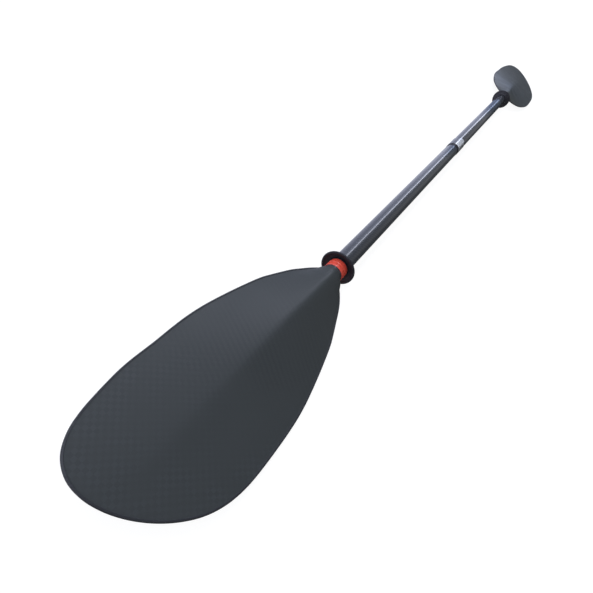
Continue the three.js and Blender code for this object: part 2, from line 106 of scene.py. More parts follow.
def centripetal(points, count):
    """Centripetal Catmull-Rom curve through points, evenly stepped along its length."""
    p = np.array(points, float)
    p = np.vstack([2 * p[0] - p[1], p, 2 * p[-1] - p[-2]])
    out = []
    for i in range(1, len(p) - 2):
        q = p[i - 1:i + 3]
        t = np.concatenate([[0], np.cumsum(np.sqrt(np.linalg.norm(np.diff(q, axis=0), axis=1)))])
        s = np.linspace(t[1], t[2], 40, endpoint=False)[:, None]
        a = [(t[k + 1] - s) / (t[k + 1] - t[k]) * q[k] + (s - t[k]) / (t[k + 1] - t[k]) * q[k + 1] for k in range(3)]
        b = [(t[k + 2] - s) / (t[k + 2] - t[k]) * a[k] + (s - t[k]) / (t[k + 2] - t[k]) * a[k + 1] for k in range(2)]
        out.append((t[2] - s) / (t[2] - t[1]) * b[0] + (s - t[1]) / (t[2] - t[1]) * b[1])
    out = np.vstack(out + [p[-2][None]])
    length = np.concatenate([[0], np.cumsum(np.linalg.norm(np.diff(out, axis=0), axis=1))])
    want = np.linspace(0, length[-1], count)
    return np.stack([np.interp(want, length, out[:, k]) for k in range(2)], 1)


FINE = centripetal(OUTLINE, 2401)
# round off the small waves between the outline's points
for _ in range(60):
    FINE[1:-1] = 0.25 * FINE[:-2] + 0.5 * FINE[1:-1] + 0.25 * FINE[2:]


def inset(width):
    k = 4
    pad = np.vstack([np.repeat(FINE[:1], k, 0), FINE, np.repeat(FINE[-1:], k, 0)])
    d = pad[2 * k:] - pad[:-2 * k]
    d /= np.linalg.norm(d, axis=1)[:, None]
    w = width * smooth(28, 38, FINE[:, 0])
    return FINE + np.stack([d[:, 1] * w, -d[:, 0] * w], 1), np.stack([d[:, 1], -d[:, 0]], 1)


class Span:
    def __init__(self, poly):
        tip = int(np.argmax(poly[:, 0]))
        self.tip_u, self.tip_y = poly[tip]
        up, down = poly[:tip + 1], poly[tip:][::-1]
        self.up = (np.maximum.accumulate(up[:, 0]) + np.arange(len(up)) * 1e-9, up[:, 1])
        self.down = (np.maximum.accumulate(down[:, 0]) + np.arange(len(down)) * 1e-9, down[:, 1])

    def hi(self, u):
        return np.interp(u, *self.up)

    def lo(self, u):
        return np.interp(u, *self.down)


FULL = Span(FINE)
INNER = Span(inset(RIM_W - 0.12)[0])


def rim_z(u):
    v = np.maximum(np.asarray(u, float) - 30, 0)
    return 4.318e-4 * v * v - 0.1631 * v


def rim_half(u):
    return RIM_T / 2 * smooth(26, 48, u)


tent_top = curve([(24, 15), (36, 15.9), (60, 17.4), (100, 18.8), (150, 16.7), (200, 12.1), (260, 6.6), (320, 3.6), (380, 1.6), (428, 0)])
tent_bot = curve([(24, 0), (36, 1), (60, 5), (100, 7.5), (150, 7.5), (200, 6.5), (260, 4.8), (320, 3), (380, 1.4), (428, 0)])
spine_top = curve([(24, 15), (36, 15), (60, 14.2), (100, 10.5), (150, 4), (200, -2.5), (250, -8), (300, -14), (428, -30)])
spine_bot = curve([(24, -15), (36, -15), (60, -14.7), (100, -14.2), (150, -14), (200, -14), (260, -13.5), (300, -9), (428, 12)])
spine_half = curve([(24, 15), (36, 15), (60, 14.6), (100, 13), (150, 10.5), (200, 8), (250, 5.5), (428, 4)])


ridge_round = curve([(24, 0.5), (60, 0.2), (100, 0.12), (150, 0.09), (250, 0.08), (428, 0.08)])


def face_z(u, y, side):
    """Height of the power face (side 1) or the back face (side -1)."""
    u, y = np.broadcast_arrays(np.asarray(u, float), np.asarray(y, float))
    c = FULL.tip_y * smooth(370, TIP_U, u)
    top, low = INNER.hi(u), INNER.lo(u)
    q = np.where(y >= c, (y - c) / np.maximum(top - c, 1e-6), (c - y) / np.maximum(c - low, 1e-6))
    q = np.clip(q, 0, 1)
    base = rim_z(u) + side * rim_half(u)
    crown = tent_top(u) if side > 0 else spine_bot(u) - base
    dome = base + crown * np.sqrt(np.maximum(1 - q * q, 0))
    if side > 0:
        e = ridge_round(u)
        opened = base + crown * (1 - (np.hypot(q, e) - e) / (np.hypot(1, e) - e))
    else:
        soft = (np.sqrt(q * q + 0.0016) - 0.04) / (math.sqrt(1.0016) - 0.04)
        wing = base + tent_bot(u) * (1 - np.power(np.clip(soft, 0, 1), 1.12))
        mid, half = (spine_top(u) + spine_bot(u)) / 2, (spine_top(u) - spine_bot(u)) / 2
        w = np.abs(y) / spine_half(u)
        a, b = -wing, np.maximum(half, 0) * np.sqrt(np.maximum(1 - w * w, 0)) - mid
        h = np.maximum(3.5 - np.abs(a - b), 0) / 3.5
        merged = -(np.maximum(a, b) + h * h * 3.5 / 4)
        # the spine's flank runs out into the wing without a step
        opened = np.where(half <= 0, wing, wing + (merged - wing) * (1 - smooth(0.92, 1.08, w)))
    return dome + (opened - dome) * smooth(22, 52, u)


def make(name, verts, faces, sharp=35, scale=MM):
    mesh = bpy.data.meshes.new(name)
    mesh.from_pydata((np.asarray(verts, float) * scale).tolist(), [], [tuple(map(int, f)) for f in faces])
    mesh.validate()
    mesh.update()
    obj = bpy.data.objects.new(name, mesh)
    bpy.context.scene.collection.objects.link(obj)
    outward(obj)
    mesh.polygons.foreach_set("use_smooth", [True] * len(mesh.polygons))
    mesh.set_sharp_from_angle(angle=math.radians(sharp))
    return obj


def outward(obj):
    import bmesh
    bm = bmesh.new()
    bm.from_mesh(obj.data)
    bmesh.ops.recalc_face_normals(bm, faces=bm.faces)
    if bm.calc_volume(signed=True) < 0:
        bmesh.ops.reverse_faces(bm, faces=bm.faces)
    bm.to_mesh(obj.data)
    bm.free()


def rounded(profile, radius=0.4, steps=4, closed=True, skip=()):
    """Rounds the corners of a profile of (x, r) points."""
    p = [np.array(q, float) for q in profile]
    n, out = len(p), []
    for i in range(n):
        if (not closed and i in (0, n - 1)) or i in skip:
            out.append(p[i])
            continue
        a, b, c = p[i - 1], p[i], p[(i + 1) % n]
        u, v = a - b, c - b
        lu, lv = np.linalg.norm(u), np.linalg.norm(v)
        if lu < 1e-9 or lv < 1e-9 or abs(np.dot(u / lu, v / lv)) > 0.9995:
            out.append(b)
            continue
        r = min(radius, lu * 0.45, lv * 0.45)
        s, e = b + u / lu * r, b + v / lv * r
        for t in np.linspace(0, 1, steps + 1):
            out.append((1 - t) ** 2 * s + 2 * t * (1 - t) * b + t * t * e)
    return out


def turned(name, profile, segments=128, closed=True, sharp=35, stretch=()):
    """Body of revolution about X from (x, r) points in millimetres."""
    pts = [tuple(p) for p in profile]
    verts, faces, rings = [], [], []
    for x, r in pts:
        if r < 1e-6:
            rings.append([len(verts)])
            verts.append((x, 0, 0))
        else:
            rings.append(list(range(len(verts), len(verts) + segments)))
            a = np.arange(segments) * 2 * PI / segments
            verts.extend(np.stack([np.full(segments, x), r * np.sin(a), r * np.cos(a)], 1).tolist())
    pairs = list(zip(rings, rings[1:])) + ([(rings[-1], rings[0])] if closed else [])
    for a, b in pairs:
        if len(a) == 1 and len(b) == 1:
            continue
        for i in range(segments):
            j = (i + 1) % segments
            if len(a) == 1:
                faces.append((a[0], b[j], b[i]))
            elif len(b) == 1:
                faces.append((a[i], a[j], b[0]))
            else:
                faces.append((a[i], a[j], b[j], b[i]))
    return make(name, verts, faces, sharp)


def drill(obj, centre_x, radius, angles, r0=5.0, r1=20.0):
    """Radial holes; angle 0 is straight down."""
    for k, deg in enumerate(angles):
        seg = 48
        a = np.arange(seg) * 2 * PI / seg
        ring = np.stack([centre_x + radius * np.cos(a), radius * np.sin(a)], 1)
        verts = [(x, y, -r0) for x, y in ring] + [(x, y, -r1) for x, y in ring]
        faces = [tuple(range(seg)), tuple(range(2 * seg - 1, seg - 1, -1))]
        faces += [(i, (i + 1) % seg, seg + (i + 1) % seg, seg + i) for i in range(seg)]
        t = math.radians(deg)
        verts = [(x, y * math.cos(t) - z * math.sin(t), y * math.sin(t) + z * math.cos(t)) for x, y, z in verts]
        tool = make("drill_tool", verts, faces)
        mod = obj.modifiers.new("hole", "BOOLEAN")
        mod.operation, mod.object, mod.solver = "DIFFERENCE", tool, "EXACT"
        dg = bpy.context.evaluated_depsgraph_get()
        dg.update()
        new = bpy.data.meshes.new_from_object(obj.evaluated_get(dg))
        obj.modifiers.clear()
        old = obj.data
        obj.data = new
        bpy.data.meshes.remove(old)
        bpy.data.objects.remove(tool)
    obj.data.polygons.foreach_set("use_smooth", [True] * len(obj.data.polygons))
    obj.data.set_sharp_from_angle(angle=math.radians(30))
    return obj


# ------------------------------------------------------------------- materials
class Nodes:
    def __init__(self, name):
        self.mat = bpy.data.materials.new(name)
        self.mat.use_nodes = True
        self.tree = self.mat.node_tree
        self.tree.nodes.clear()
        self.out = self.add("ShaderNodeOutputMaterial")
        self.bsdf = self.add("ShaderNodeBsdfPrincipled")
        self.link(self.bsdf, "BSDF", self.out, "Surface")
        self.coord = self.add("ShaderNodeTexCoord")

    def add(self, kind, **values):
        node = self.tree.nodes.new(kind)
        for k, v in values.items():
            setattr(node, k, v)
        return node

    def link(self, a, out, b, inp):
        self.tree.links.new(a.outputs[out] if isinstance(out, (int, str)) else out, b.inputs[inp])

    def value(self, x):
        return x

    def math(self, op, a, b=None, c=None, clamp=False):
        n = self.add("ShaderNodeMath", operation=op, use_clamp=clamp)
        for i, v in enumerate((a, b, c)):
            if v is None:
                continue
            if isinstance(v, (int, float)):
                n.inputs[i].default_value = v
            else:
                self.tree.links.new(v, n.inputs[i])
        return n.outputs[0]

    def separate(self, vector):
        n = self.add("ShaderNodeSeparateXYZ")
        self.tree.links.new(vector, n.inputs[0])
        return n.outputs

    def combine(self, x, y, z):
        n = self.add("ShaderNodeCombineXYZ")
        for i, v in enumerate((x, y, z)):
            if isinstance(v, (int, float)):
                n.inputs[i].default_value = v
            else:
                self.tree.links.new(v, n.inputs[i])
        return n.outputs[0]

    def noise(self, vector, scale, detail=4, rough=0.5, out="Fac"):
        n = self.add("ShaderNodeTexNoise")
        n.inputs["Scale"].default_value = scale
        n.inputs["Detail"].default_value = detail
        n.inputs["Roughness"].default_value = rough
        self.tree.links.new(vector, n.inputs["Vector"])
        return n.outputs[out]

    def ramp(self, fac, stops):
        n = self.add("ShaderNodeValToRGB")
        e = n.color_ramp.elements
        while len(e) < len(stops):
            e.new(0.5)
        for i, (p, c) in enumerate(stops):
            e[i].position = p
            e[i].color = (*c, 1) if len(c) == 3 else c
        self.tree.links.new(fac, n.inputs[0])
        return n.outputs[0]

    def mix(self, fac, a, b):
        n = self.add("ShaderNodeMix", data_type="RGBA")
        for i, v in ((0, fac), (6, a), (7, b)):
            if isinstance(v, (int, float)):
                n.inputs[i].default_value = v
            elif isinstance(v, tuple):
                n.inputs[i].default_value = (*v, 1)
            else:
                self.tree.links.new(v, n.inputs[i])
        return n.outputs[2]

    def range(self, v, a0, a1, b0, b1, kind="LINEAR"):
        n = self.add("ShaderNodeMapRange", interpolation_type=kind)
        for i, x in enumerate((a0, a1, b0, b1)):
            n.inputs[i + 1].default_value = x
        self.tree.links.new(v, n.inputs[0])
        return n.outputs[0]

    def bump(self, height, strength, distance, normal=None):
        n = self.add("ShaderNodeBump")
        n.inputs["Strength"].default_value = strength
        n.inputs["Distance"].default_value = distance
        self.tree.links.new(height, n.inputs["Height"])
        if normal is not None:
            self.tree.links.new(normal, n.inputs["Normal"])
        return n.outputs[0]

    def set(self, **values):
        for k, v in values.items():
            socket = self.bsdf.inputs[k.replace("_", " ")]
            if isinstance(v, (int, float)):
                socket.default_value = v
            elif isinstance(v, tuple):
                socket.default_value = (*v, 1) if len(v) == 3 else v
            else:
                self.tree.links.new(v, socket)


def weave(n, s, x, tow, twill):
    """(which yarn is on top, height) of a woven cloth; s and x are lengths in metres."""
    a, b = n.math("DIVIDE", s, tow), n.math("DIVIDE", x, tow)
    i, j = n.math("FLOOR", a), n.math("FLOOR", b)
    total = n.math("ADD", i, j)
    if twill:
        over = n.math("LESS_THAN", n.math("FLOORED_MODULO", total, 4.0), 1.5)
    else:
        over = n.math("LESS_THAN", n.math("FLOORED_MODULO", total, 2.0), 0.5)
    fa, fb = n.math("FRACT", a), n.math("FRACT", b)
    ha = n.math("SINE", n.math("MULTIPLY", fa, PI))
    hb = n.math("SINE", n.math("MULTIPLY", fb, PI))
    ha, hb = n.math("POWER", n.math("ABSOLUTE", ha), 0.6), n.math("POWER", n.math("ABSOLUTE", hb), 0.6)
    height = n.math("ADD", n.math("MULTIPLY", ha, over), n.math("MULTIPLY", hb, n.math("SUBTRACT", 1.0, over)))
    return over, height


def blade_material():
    n = Nodes("blade_laminate")
    pos = n.coord.outputs["Object"]
    x, y, z = n.separate(pos)
    u = n.math("SUBTRACT", n.math("ABSOLUTE", x), ROOT_X * MM)
    # slight wander of the tows so the cloth doesn't look ruled
    wander = n.math("MULTIPLY", n.math("SUBTRACT", n.noise(pos, 9.0, 2), 0.5), 0.006)
    over, height = weave(n, n.math("ADD", y, wander), n.math("ADD", x, wander), 0.0046, False)
    d1 = n.math("ADD", n.math("MULTIPLY", y, 0.36), n.math("MULTIPLY", x, 0.93))
    d2 = n.math("SUBTRACT", n.math("MULTIPLY", x, 0.36), n.math("MULTIPLY", y, 0.93))
    fine_over, fine = weave(n, n.math("ADD", d1, wander), d2, 0.0023, True)
    # the coarse cloth prints through near the tip, the fine one in the middle
    tip = n.range(u, 0.20, 0.34, 0.0, 1.0, "SMOOTHSTEP")
    patch = n.range(n.noise(pos, 9.0, 3), 0.38, 0.62, 0.15, 1.0, "SMOOTHSTEP")
    show = n.math("MULTIPLY", n.math("ADD", n.math("MULTIPLY", tip, 0.85), 0.15), patch)
    middle = n.math("MULTIPLY", n.range(n.math("ABSOLUTE", n.math("SUBTRACT", u, 0.19)), 0.03, 0.13, 1.0, 0.12, "SMOOTHSTEP"), patch)
    # loose patches of tow, brighter and darker where the resin is thin
    cell = n.add("ShaderNodeTexVoronoi")
    cell.inputs["Scale"].default_value = 95.0
    n.tree.links.new(pos, cell.inputs["Vector"])
    blot = n.range(n.noise(pos, 60.0, 2, 0.4), 0.35, 0.65, 0.0, 1.0, "SMOOTHSTEP")
    cloudy = n.noise(pos, 3.2, 3, 0.55)
    base = n.mix(cloudy, (0.0400, 0.0445, 0.0440), (0.0480, 0.0535, 0.0532))
    yarn = n.mix(over, (0.034, 0.038, 0.040), (0.064, 0.072, 0.077))
    colour = n.mix(n.math("MULTIPLY", n.math("MULTIPLY", show, n.range(blot, 0, 1, 0.25, 1.0)), 0.24), base, yarn)
    colour = n.mix(n.math("MULTIPLY", n.math("MULTIPLY", fine_over, middle), 0.16), colour, (0.018, 0.020, 0.024))
    # fine dust and scuffs
    scratch = n.noise(n.combine(n.math("MULTIPLY", x, 6.0), n.math("MULTIPLY", y, 90.0), z), 8.0, 5, 0.7)
    scuff = n.range(scratch, 0.66, 0.78, 0.0, 1.0)
    colour = n.mix(n.math("MULTIPLY", scuff, 0.05), colour, (0.14, 0.15, 0.155))
    rough = n.math("ADD", n.range(n.noise(pos, 26.0, 5), 0.3, 0.7, 0.40, 0.48), n.math("MULTIPLY", scuff, 0.08))
    rough = n.math("ADD", rough, n.math("MULTIPLY", n.math("MULTIPLY", over, show), -0.05))
    n.set(Base_Color=colour, Roughness=rough, Metallic=0.0, IOR=1.38, Coat_Weight=0.06, Coat_Roughness=0.26)
    surface = n.math("ADD", n.math("MULTIPLY", height, show), n.math("MULTIPLY", n.math("MULTIPLY", fine, middle), 0.5))
    b = n.bump(surface, 0.22, 0.00022)
    b = n.bump(n.noise(pos, 420.0, 3, 0.6), 0.08, 0.00012, b)
    n.set(Normal=b)
    return n.mat


def carbon_material(name="shaft_carbon", tow=0.0016, dark=(0.009, 0.011, 0.015), light=(0.022, 0.026, 0.036), coat=1.0):
    n = Nodes(name)
    pos = n.coord.outputs["Object"]
    x, y, z = n.separate(pos)
    around = n.math("MULTIPLY", n.math("ARCTAN2", y, z), SHAFT_R * MM)
    over, height = weave(n, around, x, tow, True)
    cloud = n.noise(pos, 30.0, 3)
    grain = n.noise(n.combine(n.math("MULTIPLY", x, 1.0), n.math("MULTIPLY", around, 12.0), 0.0), 240.0, 3)
    mixed = n.mix(over, dark, light)
    mixed = n.mix(n.math("MULTIPLY", grain, 0.35), mixed, (0.07, 0.075, 0.09))
    mixed = n.mix(n.math("MULTIPLY", cloud, 0.25), mixed, (0.02, 0.022, 0.027))
    n.set(Base_Color=mixed, Roughness=n.range(over, 0, 1, 0.42, 0.30), Metallic=0.0, IOR=1.5,
          Coat_Weight=coat, Coat_Roughness=0.035, Coat_IOR=1.55)
    b = n.bump(height, 0.35, 0.00012)
    wave = n.bump(n.noise(n.combine(n.math("MULTIPLY", x, 60.0), n.math("MULTIPLY", around, 60.0), 0.0), 1.6, 2), 0.05, 0.0004)
    n.set(Normal=b, Coat_Normal=wave)
    return n.mat


def rim_material():
    n = Nodes("edge_resin")
    pos = n.coord.outputs["Object"]
    x, y, z = n.separate(pos)
    wear = n.range(n.noise(pos, 60.0, 5, 0.65), 0.58, 0.70, 0.0, 1.0)
    far = n.range(n.math("ABSOLUTE", x), 0.93, 1.045, 0.15, 0.8)
    colour = n.mix(n.noise(pos, 18.0, 3), (0.016, 0.017, 0.020), (0.030, 0.032, 0.036))
    colour = n.mix(n.math("MULTIPLY", n.math("MULTIPLY", wear, far), 0.5), colour, (0.10, 0.10, 0.105))
    n.set(Base_Color=colour, Roughness=n.range(n.noise(pos, 90.0, 4), 0.3, 0.7, 0.38, 0.58), IOR=1.5)
    n.set(Normal=n.bump(n.noise(pos, 350.0, 4), 0.18, 0.0002))
    return n.mat


def rubber_material():
    n = Nodes("drip_rubber")
    pos = n.coord.outputs["Object"]
    x, y, z = n.separate(pos)
    dust = n.range(n.noise(pos, 45.0, 5, 0.6), 0.5, 0.75, 0.0, 1.0)
    colour = n.mix(n.noise(pos, 20.0, 3), (0.0135, 0.0125, 0.0165), (0.0225, 0.0210, 0.0270))
    colour = n.mix(n.math("MULTIPLY", dust, 0.25), colour, (0.055, 0.052, 0.056))
    n.set(Base_Color=colour, Roughness=n.range(n.noise(pos, 80.0, 4), 0.3, 0.7, 0.52, 0.72), IOR=1.48, Specular_IOR_Level=0.42)
    n.set(Normal=n.bump(n.noise(pos, 900.0, 3, 0.6), 0.2, 0.00015))
    return n.mat


def red_material():
    n = Nodes("red_trim")
    pos = n.coord.outputs["Object"]
    colour = n.mix(n.noise(pos, 40.0, 4), (0.80, 0.076, 0.044), (0.90, 0.104, 0.060))
    worn = n.range(n.noise(pos, 160.0, 5, 0.7), 0.60, 0.72, 0.0, 1.0)
    colour = n.mix(n.math("MULTIPLY", worn, 0.30), colour, (0.62, 0.22, 0.17))
    n.set(Base_Color=colour, Roughness=n.range(n.noise(pos, 120.0, 4), 0.3, 0.7, 0.24, 0.36), IOR=1.5, Coat_Weight=0.8, Coat_Roughness=0.07)
    n.set(Normal=n.bump(n.noise(pos, 500.0, 3), 0.12, 0.00015))
    return n.mat


def band_material():
    n = Nodes("silver_band")
    pos = n.coord.outputs["Object"]
    x, y, z = n.separate(pos)
    angle = n.math("MULTIPLY", n.math("ARCTAN2", y, z), 180.0 / PI)
    around = n.math("MULTIPLY", n.math("ARCTAN2", y, z), BAND_R * MM)
    xm = n.math("MULTIPLY", x, 1000.0)
    fuzz = n.math("MULTIPLY", n.math("SUBTRACT", n.noise(pos, 500.0, 2), 0.5), 0.5)

    def between(v, low, high, soft):
        return n.math("MULTIPLY", n.range(v, low - soft, low + soft, 0.0, 1.0), n.range(v, high - soft, high + soft, 1.0, 0.0))

    def box(a0, a1, x0, x1):
        return n.math("MULTIPLY", between(angle, a0, a1, 0.7), between(n.math("ADD", xm, fuzz), x0, x1, 0.3))

    # over is the woven tube under the clear collar
    over, height = weave(n, around, x, 0.0016, True)
    dark = n.mix(over, (0.009, 0.011, 0.015), (0.024, 0.028, 0.038))
    # a blank silver-white index patch, and a bracket frame beside it
    patch = box(-29.0, 20.0, BAND_X0 + 1.0, BAND_X1 - 1.5)
    frame_out = box(-60.0, -33.0, BAND_X0 + 1.0, BAND_X1 - 8.0)
    frame_in = box(-55.0, -38.0, BAND_X0 + 5.0, BAND_X1 - 12.0)
    bar = box(-48.0, -45.0, BAND_X0 + 7.0, BAND_X1 - 16.0)
    bracket = n.math("MAXIMUM", n.math("SUBTRACT", frame_out, frame_in, clamp=True), bar)
    brush = n.noise(n.combine(n.math("MULTIPLY", x, 900.0), n.math("MULTIPLY", around, 30.0), 0.0), 1.0, 4, 0.7)
    silver = n.mix(brush, (0.66, 0.68, 0.70), (0.88, 0.90, 0.92))
    # grey index bars inside the patch
    bars = n.math("MULTIPLY", n.math("GREATER_THAN", n.math("SINE", n.math("MULTIPLY", angle, 0.70)), 0.2), box(-12.0, 12.0, BAND_X0 + 16.0, BAND_X1 - 6.0))
    silver = n.mix(n.math("MULTIPLY", bars, 0.60), silver, (0.22, 0.24, 0.24))
    colour = n.mix(patch, dark, silver)
    colour = n.mix(n.math("MULTIPLY", bracket, 0.90), colour, (0.60, 0.61, 0.61))
    # the same patch on the far side, where the other half's feather mark lines up
    back = n.math("MULTIPLY", n.math("GREATER_THAN", n.math("ABSOLUTE", angle), 150.0), between(xm, BAND_X0 + 1.5, BAND_X0 + 8.0, 0.3))
    colour = n.mix(back, colour, silver)
    n.set(Base_Color=colour, Roughness=n.range(brush, 0.3, 0.7, 0.30, 0.42), Metallic=0.0, IOR=1.5, Coat_Weight=1.0, Coat_Roughness=0.05, Coat_IOR=1.5)
    n.set(Normal=n.bump(n.math("ADD", n.math("MULTIPLY", brush, 0.3), patch), 0.10, 0.00010))
    return n.mat


def steel_material():
    n = Nodes("button_steel")
    pos = n.coord.outputs["Object"]
    brush = n.noise(pos, 700.0, 4, 0.7)
    n.set(Base_Color=n.mix(brush, (0.50, 0.50, 0.50), (0.66, 0.66, 0.67)), Metallic=1.0, Roughness=n.range(brush, 0.3, 0.7, 0.18, 0.32))
    n.set(Normal=n.bump(brush, 0.08, 0.00005))
    return n.mat


def glass_material():
    n = Nodes("ferrule_glass")
    pos = n.coord.outputs["Object"]
    x, y, z = n.separate(pos)
    around = n.math("MULTIPLY", n.math("ARCTAN2", y, z), 12.5 * MM)
    over, height = weave(n, around, x, 0.0016, False)
    rings = n.noise(n.combine(n.math("MULTIPLY", x, 1200.0), n.math("MULTIPLY", around, 20.0), 0.0), 1.0, 3)
    colour = n.mix(n.noise(pos, 35.0, 4), (0.36, 0.33, 0.24), (0.46, 0.42, 0.31))
    colour = n.mix(n.math("MULTIPLY", over, 0.15), colour, (0.28, 0.26, 0.2))
    n.set(Base_Color=colour, Roughness=n.range(rings, 0.3, 0.7, 0.38, 0.55), IOR=1.5)
    n.set(Normal=n.bump(n.math("ADD", n.math("MULTIPLY", height, 0.5), n.math("MULTIPLY", rings, 0.5)), 0.15, 0.0001))
    return n.mat


def foam_material():
    n = Nodes("core_foam")
    pos = n.coord.outputs["Object"]
    cells = n.add("ShaderNodeTexVoronoi")
    cells.inputs["Scale"].default_value = 700.0
    n.tree.links.new(pos, cells.inputs["Vector"])
    n.set(Base_Color=n.mix(cells.outputs["Distance"], (0.52, 0.47, 0.36), (0.72, 0.67, 0.55)), Roughness=n.range(n.noise(pos, 60.0, 3), 0.3, 0.7, 0.8, 0.95))
    n.set(Normal=n.bump(cells.outputs["Distance"], 0.4, 0.0003))
    return n.mat


MAT = {
    "blade_laminate": blade_material(), "shaft_carbon": carbon_material(), "edge_resin": rim_material(),
    "drip_rubber": rubber_material(), "red_trim": red_material(), "silver_band": band_material(),
    "button_steel": steel_material(), "ferrule_glass": glass_material(), "core_foam": foam_material(),
    "spar_carbon": carbon_material("spar_carbon", 0.003, (0.012, 0.012, 0.014), (0.03, 0.03, 0.034), 0.0),
}


def dress(obj, slot, body, *nodes):
    obj.data.materials.clear()
    obj.data.materials.append(MAT[slot])
    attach(obj, body)
    if nodes:
        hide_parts(*nodes)
    return obj


# ---------------------------------------------------------------------- blades
def blade_grid(side, depth, stations, count):
    """Points of a face, moved inward by depth along the section's normal."""
    u = stations[:, None]
    hi, lo = INNER.hi(stations)[:, None], INNER.lo(stations)[:, None]
    c = np.clip(FULL.tip_y * smooth(370, TIP_U, u), lo, hi)
    t = np.linspace(-1, 1, count)[None, :]
    sign, a = np.sign(t), np.abs(t)
    reach = np.where(t >= 0, hi - c, c - lo)
    b = np.minimum(spine_half(u) * 1.02, 0.45 * reach)
    spread = smooth(24, 52, u)
    rnd = reach * np.sin(PI / 2 * a)
    inner = b * np.sin(PI / 2 * np.minimum(a / 0.4, 1))
    wing = np.where(a <= 0.4, inner, b + (reach - b) * (np.clip(a - 0.4, 0, 1) / 0.6))
    y = c + sign * (rnd + (wing - rnd) * spread)
    uu = np.broadcast_to(u, y.shape)
    z = face_z(uu, y, side)
    if depth:
        pad_y = np.concatenate([2 * y[:, :1] - y[:, 1:2], y, 2 * y[:, -1:] - y[:, -2:-1]], 1)
        pad_z = np.concatenate([2 * z[:, :1] - z[:, 1:2], z, 2 * z[:, -1:] - z[:, -2:-1]], 1)
        ny, nz = -(pad_z[:, 2:] - pad_z[:, :-2]), pad_y[:, 2:] - pad_y[:, :-2]
        neck = (uu < 46)
        edge = np.zeros_like(y, bool)
        edge[:, 0] = edge[:, -1] = True
        ny = np.where(neck & edge, side * np.sign(t), ny)
        nz = np.where(neck & edge, 0, nz)
        l = np.hypot(ny, nz)
        y, z = y - side * depth * ny / l, z - side * depth * nz / l
    return uu, y, z


def blade_skin(name, side, flip):
    first, last = NECK_U + 0.25, INNER.tip_u - 0.02
    stations = np.concatenate([np.linspace(first, 60, 46)[:-1], np.linspace(60, 330, 130)[:-1],
                               330 + (last - 330) * np.sin(PI / 2 * np.linspace(0, 1, 70))])
    count = 121
    u0, y0, z0 = blade_grid(side, 0, stations, count)
    u1, y1, z1 = blade_grid(side, SKIN_T, stations, count)
    floor = rim_z(stations)[:, None]
    z0 = side * np.maximum(side * (z0 - floor), 0.5) + floor
    z1 = side * np.maximum(side * (z1 - floor), 0.03) + floor
    ns = len(stations)
    loop_u = np.concatenate([u0, u1[:, ::-1]], 1)
    loop_y = np.concatenate([y0, y1[:, ::-1]], 1)
    loop_z = np.concatenate([z0, z1[:, ::-1]], 1)
    n = 2 * count
    verts = np.stack([flip * (ROOT_X + loop_u), loop_y, loop_z], 2).reshape(-1, 3)
    faces = []
    for s in range(ns - 1):
        base = s * n
        for i in range(n):
            j = (i + 1) % n
            faces.append((base + i, base + j, base + n + j, base + n + i))
    for base in (0, (ns - 1) * n):
        for i in range(count - 1):
            faces.append((base + i, base + i + 1, base + n - 2 - i, base + n - 1 - i))
    return make(name, verts, faces, 40)


def blade_rim(name, flip):
    _, normal = inset(1.0)
    use = np.where(FINE[:, 0] > 30)[0][::2]
    p, nrm = FINE[use], normal[use]
    half = np.maximum(rim_half(p[:, 0]), 0.25) + 0.06
    width = RIM_W * np.maximum(smooth(28, 38, p[:, 0]), 0.2)
    # bead section: flat inside, rounded outside
    arc = [(0.5 * (1 - math.sin(a)), math.cos(a)) for a in np.linspace(0, PI, 15)]
    shape = [(1.0, 0.86), (0.94, 0.97), (0.82, 1.0)] + [(d * 0.9, h) for d, h in arc] + [(0.82, -1.0), (0.94, -0.97), (1.0, -0.86)]
    n = len(shape)
    verts, faces = [], []
    z0 = rim_z(p[:, 0])
    for k in range(len(p)):
        for d, h in shape:
            q = p[k] + nrm[k] * width[k] * d
            verts.append((flip * (ROOT_X + q[0]), q[1], z0[k] + h * half[k]))
    for s in range(len(p) - 1):
        for i in range(n):
            j = (i + 1) % n
            faces.append((s * n + i, s * n + j, (s + 1) * n + j, (s + 1) * n + i))
    faces.append(tuple(range(n)))
    faces.append(tuple((len(p) - 1) * n + i for i in range(n)))
    return make(name, verts, faces, 50)


